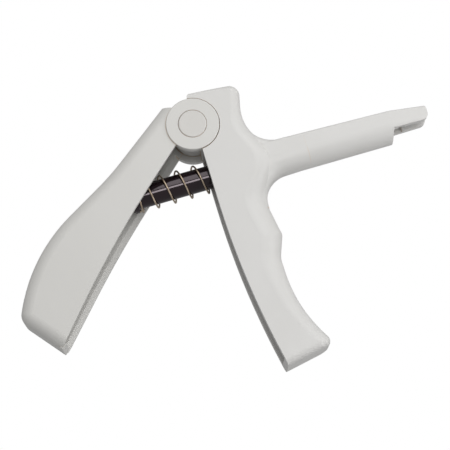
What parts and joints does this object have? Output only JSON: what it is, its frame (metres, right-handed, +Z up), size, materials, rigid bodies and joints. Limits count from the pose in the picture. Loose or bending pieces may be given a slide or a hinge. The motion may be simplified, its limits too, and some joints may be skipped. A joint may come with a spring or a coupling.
{
  "type": "dental capsule dispensing gun",
  "caption": "Hand-squeezed dispensing gun: finger handle and barrel in one moulding, pivoted palm lever, sprung plunger, open nose seat for a filled capsule.",
  "frame": {"origin": "pivot axis of the lever, at the middle of the gun's width", "axes": "+X along the barrel towards the nose, +Z up from the foot of the finger handle to the head, Y across the gun"},
  "size_m": [0.1723, 0.0218, 0.1123],
  "materials": {
    "body_plastic": "fine satin moulding, light warm grey",
    "lever_plastic": "fine satin moulding, light warm grey",
    "cap_plastic": "fine satin moulding, slightly warmer grey",
    "rod_plastic": "glossy black",
    "spring_steel": "drawn stainless wire with a faint brown tint",
    "pin_steel": "ground stainless pin"
  },
  "bodies": {
    "body": {"front_body": "body_plastic", "return_spring": "spring_steel"},
    "lever": {"rear_lever": "lever_plastic", "pivot_axle": "pin_steel", "pivot_cap_near": "cap_plastic", "pivot_cap_far": "cap_plastic"},
    "plunger": {"plunger_rod": "rod_plastic", "plunger_tip": "pin_steel"}
  },
  "joints": [
    {"name": "lever_squeeze", "type": "hinge", "parent": "body", "child": "lever", "pos_m": [0, 0, 0], "axis": [0, -1, 0], "range_deg": [0, 48]},
    {"name": "plunger_slide", "type": "slide", "parent": "body", "child": "plunger", "axis": [1, 0, 0], "range_m": [0, 0.0202], "stiffness_N_per_m": 180, "springref_m": -0.008, "deforming": ["return_spring"]}
  ],
  "couplings": [
    {"joint": "plunger_slide", "follows": "lever_squeeze", "m_per_rad": 0.024}
  ]
}
